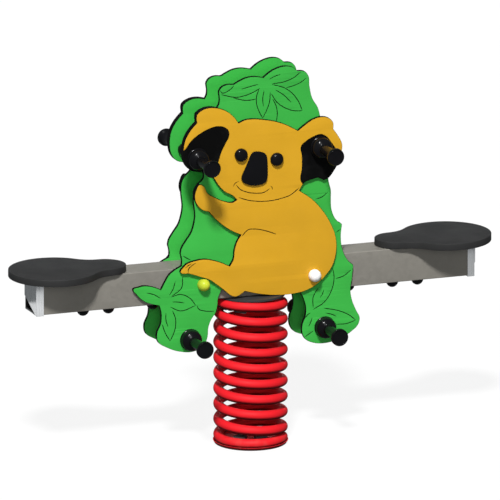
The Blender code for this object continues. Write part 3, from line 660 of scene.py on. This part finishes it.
def groove_cutters(shape, grooves, face_y):
    """Adds a round-bottomed cutter along each groove in the face at face_y, pointed at both ends."""
    for groove in grooves:
        line = smooth_curve([Vector(point) * MM for point in groove], False)
        line.append(Vector(groove[-1]) * MM)
        rings = []
        for index, point in enumerate(line):
            ahead = line[min(index + 1, len(line) - 1)] - line[max(index - 1, 0)]
            across = Vector((-ahead.y, 0, ahead.x)).normalized()
            ends = min(index, len(line) - 1 - index) * OUTLINE_STEP
            grown = min(1.0, ends / GROOVE_TAPER)
            radius = GROOVE_RADIUS * (GROOVE_POINT + (1 - GROOVE_POINT) * grown)
            centre = Vector((point.x, face_y, point.y))
            rings.append(circle(centre, across, Vector((0, 1, 0)), radius, GROOVE_SIDES))
        add_tube(shape, rings, CORE_SLOT)


def pocket_cutters(shape, pockets, face_y):
    """Adds a straight-sided cutter for each pocket in the front face at face_y."""
    for pocket in pockets:
        outline = smooth_curve([Vector(point) * MM for point in pocket], True)
        levels = (face_y - FRONT * POCKET_DEPTH, face_y + FRONT * 2 * POCKET_DEPTH)
        add_tube(shape, [[(point.x, y, point.y) for point in outline] for y in levels], CORE_SLOT)


def add_panel(kind, node_kind, slot, edge, grooves=(), pockets=(), two_sided=False):
    """One sheet shape, on the front and mirrored on the rear."""
    low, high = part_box(f"{node_kind}_front")
    face_y = low.y
    loops = face_loops(f"{node_kind}_front", Y_AXIS, face_y)
    outline = smooth_outline(loops[0])
    finishes = (slot, "core") if grooves else (slot,)
    mesh = sheet_mesh(kind, outline, high.y - low.y, edge, edge, finishes, two_sided)
    mesh = upright(mesh, (low.y + high.y) / 2)
    cutter = bmesh.new()
    for hole in loops[1:]:
        centre, radius = hole_circle(hole)
        start, end = (Vector((centre.x, y, centre.y)) for y in (low.y - OVERCUT, high.y + OVERCUT))
        add_bore(cutter, start, end, radius, CORE_SLOT)
    groove_cutters(cutter, grooves, face_y)
    pocket_cutters(cutter, pockets, face_y)
    if cutter.faces:
        mesh = cut(mesh, mesh_from(cutter, kind + "_cutter", *finishes))
    else:
        cutter.free()
    for facing, side in SIDES:
        copy = mesh.copy()
        if facing == REAR:
            copy.transform(Matrix.Scale(-1, 4, (0, 1, 0)))
            copy.flip_normals()
        add_piece(f"{kind}_{side}", shaded(copy), slot, "rocker", [f"{node_kind}_{side}"])


def add_seats():
    """The two seat boards, with blind holes for their bolts."""
    for hand in ("left", "right"):
        node = f"seat_{hand}"
        low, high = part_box(node)
        outline = smooth_outline(face_loops(node, Z_AXIS, high.z)[0])
        inset = SEAT_EDGE - SEAT_CHAMFER
        mesh = sheet_mesh(node, outline, high.z - low.z, SEAT_EDGE, inset, ("seat_grey",))
        mesh.transform(Matrix.Translation((0, 0, (low.z + high.z) / 2)))
        cutter = bmesh.new()
        for hole in face_loops(node, Z_AXIS, low.z)[1:]:
            centre, _ = hole_circle(hole)
            start = Vector((centre.x, centre.y, low.z - OVERCUT))
            add_bore(cutter, start, start + Vector((0, 0, OVERCUT + SEAT_BORE_DEPTH)), M10_BORE_RADIUS)
        mesh = cut(mesh, mesh_from(cutter, node + "_cutter"))
        add_piece(f"seat_board_{hand}", shaded(mesh), "seat_grey", "rocker", [node])


# ---------------------------------------------------------------- spring and plates


def eased(angle):
    """The angle where it is positive and 0 where it is negative, with the corner rounded."""
    if abs(angle) > COIL_EASE:
        return max(angle, 0.0)
    return (angle + COIL_EASE) ** 2 / (4 * COIL_EASE)


def add_spring():
    """The coil in two halves, split between the two hinges that the spring bends about."""
    low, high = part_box("coil_spring")
    top = high.z - WIRE_RADIUS
    per_turn = COIL_PITCH / (2 * math.pi)
    bottom_flat_start = TOP_FLAT_END + (top - low.z - WIRE_RADIUS) / per_turn
    coil_radius = high.y - WIRE_RADIUS

    def middle(angle):
        drop = per_turn * (eased(angle - TOP_FLAT_END) - eased(angle - bottom_flat_start))
        return Vector((coil_radius * math.cos(angle), coil_radius * math.sin(angle), top - drop))

    def bar(name, start, end):
        steps = round((end - start) / (2 * math.pi) * COIL_STEPS_PER_TURN)
        rings = []
        for index in range(steps + 1):
            angle = start + (end - start) * index / steps
            outward = Vector((math.cos(angle), math.sin(angle), 0))
            ahead = (middle(angle + COIL_NUDGE) - middle(angle - COIL_NUDGE)).normalized()
            upward = outward.cross(ahead)
            rings.append(circle(middle(angle), outward, upward, WIRE_RADIUS, COIL_SIDES))
        shape = bmesh.new()
        add_tube(shape, rings)
        return shaded(mesh_from(shape, name))

    split = TOP_FLAT_END + (top - COIL_SPLIT_Z) / per_turn
    upper = bar("spring_upper_half", TOP_FLAT_END - CLOSED_SWEEP, split)
    lower = bar("spring_lower_half", split, bottom_flat_start + CLOSED_SWEEP)
    upper = add_piece("spring_upper_half", upper, "spring_red", None, ["coil_spring"])
    lower = add_piece("spring_lower_half", lower, "spring_red", None, ["coil_spring"])
    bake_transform(upper)
    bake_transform(lower)


def add_ground_dish():
    """The turned dish under the coil, with its anchor holes."""
    low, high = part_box("ground_plate")
    mesh = turned("ground_dish", filleted(DISH), 2 * ROUND_SIDES)
    cutter = bmesh.new()
    for hole in face_loops("ground_plate", Z_AXIS, low.z)[1:]:
        centre, radius = hole_circle(hole)
        start, end = (Vector((centre.x, centre.y, z)) for z in (low.z - OVERCUT, high.z))
        add_bore(cutter, start, end, radius)
    mesh = cut(mesh, mesh_from(cutter, "dish_cutter"))
    mesh = shaded(mesh, TURNED_SMOOTHING)
    add_piece("ground_dish", mesh, "spring_red", "base", ["ground_plate"])


# ---------------------------------------------------------------- beam


def rounded_rectangle(half_width, half_height, radius, steps=6):
    """The outline of a rectangle round the origin with rounded corners."""
    points = []
    for quarter in range(4):
        across = half_width - radius if quarter in (0, 3) else radius - half_width
        up = half_height - radius if quarter in (0, 1) else radius - half_height
        for index in range(steps + 1):
            turn = math.pi / 2 * (quarter + index / steps)
            points.append((across + radius * math.cos(turn), up + radius * math.sin(turn)))
    return points


def add_beam():
    """The square-cut tube, with the folded corners of real hollow section and its bolt holes."""
    low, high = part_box("beam")
    half_width, half_height = (high.y - low.y) / 2, (high.z - low.z) / 2
    middle = (low.z + high.z) / 2
    shape = bmesh.new()
    outer = rounded_rectangle(half_width, half_height, BEAM_CORNER)
    inner = rounded_rectangle(half_width - BEAM_WALL, half_height - BEAM_WALL, BEAM_CORNER / 2)
    rings = []
    for x, section in ((low.x, outer), (high.x, outer), (high.x, inner), (low.x, inner)):
        rings.append([shape.verts.new((x, y, middle + z)) for y, z in section])
    # The outside is galvanised; the ends of the wall and the inside get the near-black painted shade.
    for finish, near, far in zip((0, 1, 1, 1), rings, rings[1:] + rings[:1]):
        for index in range(len(near)):
            wall = shape.faces.new((near[index - 1], near[index], far[index], far[index - 1]))
            wall.material_index = finish
    mesh = mesh_from(shape, "beam_tube", "galvanised", "beam_inside")
    cutter = bmesh.new()
    for level, inward in ((low.z, 1), (high.z, -1)):
        for hole in face_loops("beam", Z_AXIS, level)[1:]:
            centre, _ = hole_circle(hole)
            start = Vector((centre.x, centre.y, level - inward * OVERCUT))
            add_bore(cutter, start, start + Vector((0, 0, inward * 3 * BEAM_WALL)), M10_BORE_RADIUS)
    for hole in face_loops("beam", Y_AXIS, low.y)[1:]:
        centre, _ = hole_circle(hole)
        start, end = (Vector((centre.x, y, centre.y)) for y in (low.y - OVERCUT, high.y + OVERCUT))
        add_bore(cutter, start, end, M10_BORE_RADIUS)
    mesh = cut(mesh, mesh_from(cutter, "beam_cutter"))
    add_piece("beam_tube", shaded(mesh), "galvanised", "rocker", ["beam"])


# ---------------------------------------------------------------- fittings


def along(direction):
    """The rotation that turns +Z to a direction."""
    return Vector((0, 0, 1)).rotation_difference(Vector(direction)).to_matrix().to_4x4()


def add_fitting(name, node, profile, slot, direction, rim):
    """A turned fitting on a CAD node's axis. Its height 0 is rim short of the node's far end."""
    low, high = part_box(node)
    direction = Vector(direction)
    centre = (low + high) / 2
    reach = abs((high - low).dot(direction)) / 2
    place = centre + direction * (reach - rim)
    mesh = turned(name, profile)
    mesh.transform(Matrix.Translation(place) @ along(direction))
    add_piece(name, mesh, slot, "rocker", [node])


def capped_bolt(node, direction, shank_radius, cap, cap_height):
    """The profile of a bolt whose moulded cap points in a direction, with the CAD bolt's length."""
    low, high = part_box(node)
    length = abs((high - low).dot(Vector(direction))) - cap_height
    point = 1 * MM
    shank = [(0, -length), (shank_radius - point, -length), (shank_radius, point - length),
             (shank_radius, 0.0)]
    return shank + cap


def add_panel_fittings():
    """The grips, pegs, eyes and rod caps on both panels, and the bolts that hold the grips and pegs."""
    grip = filleted(GRIP)
    cap = dome(CAP_RADIUS, CAP_SKIRT, CAP_HEIGHT)
    eye = dome(EYE_RADIUS, EYE_SKIRT, EYE_HEIGHT)
    hollow_cap = [(0, CAP_BORE_DEPTH), (M10_BORE_RADIUS, CAP_BORE_DEPTH), (M10_BORE_RADIUS, 0.0), *cap]
    for facing, side in SIDES:
        outward, inward = Vector((0, facing, 0)), Vector((0, -facing, 0))
        for hand in ("left", "right"):
            end = f"{side}_{hand}"
            for kind, name in (("hand_grip", "hand_grip_moulding"), ("foot_peg", "foot_peg_moulding")):
                node = f"{kind}_{end}"
                add_fitting(f"{name}_{end}", node, grip, "black_plastic", outward, GRIP_LENGTH)
                bolt = f"{kind}_bolt_{end}"
                profile = capped_bolt(bolt, inward, M10_RADIUS, cap, CAP_HEIGHT)
                add_fitting(f"{kind}_screw_{end}", bolt, profile, "black_plastic", inward, CAP_HEIGHT)
            node = f"eye_cap_{end}"
            profile = capped_bolt(node, outward, EYE_SCREW_RADIUS, eye, EYE_HEIGHT)
            add_fitting(f"eye_dome_{end}", node, profile, "black_plastic", outward, EYE_HEIGHT)
            slot = "lime_cap" if hand == "left" else "white_cap"
            add_fitting(f"rod_cap_{end}", f"beam_bolt_cap_{end}", hollow_cap, slot, outward, CAP_HEIGHT)


def add_underside_fittings():
    """The capped bolts under the beam's arms."""
    cap = dome(CAP_RADIUS, CAP_SKIRT, CAP_HEIGHT)
    down = Vector((0, 0, -1))
    for hand in ("left", "right"):
        for node in (f"seat_bolt_{hand}_inner", f"seat_bolt_{hand}_outer", f"underside_bolt_{hand}"):
            profile = capped_bolt(node, down, M10_RADIUS, cap, CAP_HEIGHT)
            add_fitting(node.replace("bolt", "screw"), node, profile, "black_plastic", down, CAP_HEIGHT)


def finish_hardware():
    """Gives what keeps its CAD shape a material and small rounded edges."""
    for name, node in frame["nodes"].items():
        if node.hide_render:
            continue
        slot = next(row["material_slot"] for row in frame["record"]["subparts"] if row["node"] == name)
        node.material_slots[0].material = materials[slot]
        weld = node.modifiers.new("weld", "WELD")
        weld.merge_threshold = TOUCHING
        edges = node.modifiers.new("edges", "BEVEL")
        edges.width = HARDWARE_EDGE
        edges.segments = 2
        edges.limit_method = "ANGLE"
        edges.angle_limit = math.radians(40)


# ---------------------------------------------------------------- stage


def add_floor():
    """A pale floor, lit mostly from within so that shadows on it stay faint. It casts no light back up."""
    shape = bmesh.new()
    bmesh.ops.create_circle(shape, cap_ends=True, radius=FLOOR_RADIUS, segments=ROUND_SIDES)
    floor = bpy.data.objects.new("floor", mesh_from(shape, "floor"))
    bpy.context.scene.collection.objects.link(floor)
    floor.location.z = -FLOOR_DROP
    pale = Finish("floor_pale", {"Base Color": (0.13, 0.13, 0.13, 1), "Roughness": 0.95,
                                 "Specular IOR Level": 0.0, "Emission Color": (1, 1, 1, 1),
                                 "Emission Strength": 0.87})
    floor.data.materials.append(pale.material)
    floor.visible_diffuse = False
    floor.visible_glossy = False


def place_light(name, kind, rotation, glossy=True, diffuse=True):
    """A light that shows in reflections if it's glossy and lights matt surfaces if it's diffuse."""
    light = bpy.data.objects.new(name, bpy.data.lights.new(name, kind))
    light.rotation_euler = rotation
    light.visible_camera = False
    light.visible_glossy = glossy
    light.visible_diffuse = diffuse
    bpy.context.scene.collection.objects.link(light)
    return light


def add_sun(name, azimuth, elevation, strength, softness, glossy):
    """A sun that shines from an azimuth and an elevation. They and its softness are in degrees."""
    rotation = (math.radians(90 - elevation), 0, math.radians(azimuth))
    sun = place_light(name, "SUN", rotation, glossy)
    sun.data.energy = strength
    sun.data.angle = math.radians(softness)


def add_card(name, spot, facing, size, brightness):
    """A small lit card, where the camera's line of sight would go if the face mirrored it at that spot."""
    sight = -camera_direction()
    bounced = sight.reflect(Vector(facing))
    card = place_light(name, "AREA", bounced.to_track_quat("Z", "Y").to_euler(), diffuse=False)
    card.location = spot + CARD_DISTANCE * bounced
    card.data.size = size
    card.data.energy = brightness * math.pi * size ** 2


def add_lights():
    """Soft studio light: a dim world, the suns, and the cards for the end caps."""
    world = bpy.data.worlds.new("studio")
    world.use_nodes = True
    background = world.node_tree.nodes["Background"]
    background.inputs["Color"].default_value = WORLD_COLOUR
    background.inputs["Strength"].default_value = WORLD_STRENGTH
    bpy.context.scene.world = world
    for sun in SUNS:
        add_sun(*sun)
    for hand, end, brightness in CARDS:
        low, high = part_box(f"beam_end_cap_{hand}")
        x = low.x if end < 0 else high.x
        inward, up = FLANGE_SPOT
        spot = Vector((x - end * inward, low.y, low.z + up))
        add_card(f"card_{hand}_flange", spot, (0, FRONT, 0), FLANGE_CARD, brightness)
        back, up = END_SPOT
        spot = Vector((x, low.y + back, low.z + up))
        add_card(f"card_{hand}_end", spot, (end, 0, 0), END_CARD, brightness)


def camera_direction():
    """The unit vector from the object to the camera."""
    azimuth, elevation = math.radians(CAMERA_AZIMUTH), math.radians(CAMERA_ELEVATION)
    return Vector((math.sin(azimuth) * math.cos(elevation), -math.cos(azimuth) * math.cos(elevation),
                   math.sin(elevation)))


def add_camera():
    """A very long lens far away, so that the view is parallel."""
    data = bpy.data.cameras.new("camera")
    data.lens = LENS
    data.clip_end = CLIP_END
    camera = bpy.data.objects.new("camera", data)
    offset = camera_direction() * VIEW_WIDTH * data.lens / data.sensor_width
    camera.location = Vector(VIEW_CENTRE) + offset
    camera.rotation_euler = (math.radians(90 - CAMERA_ELEVATION), 0, math.radians(CAMERA_AZIMUTH))
    bpy.context.scene.collection.objects.link(camera)
    bpy.context.scene.camera = camera


materials = make_materials()
add_panel("tree_sheet", "tree_panel", "tree_green", PANEL_EDGE, grooves=TREE_GROOVES, two_sided=True)
add_panel("koala_sheet", "koala_panel", "koala_orange", PANEL_EDGE, grooves=KOALA_GROOVES,
          pockets=EAR_POCKETS)
add_panel("nose_button", "nose", "black_plastic", NOSE_EDGE)
add_seats()
add_spring()
add_ground_dish()
add_beam()
add_panel_fittings()
add_underside_fittings()
finish_hardware()
add_floor()
add_lights()
add_camera()
bpy.context.scene.view_settings.view_transform = "Standard"
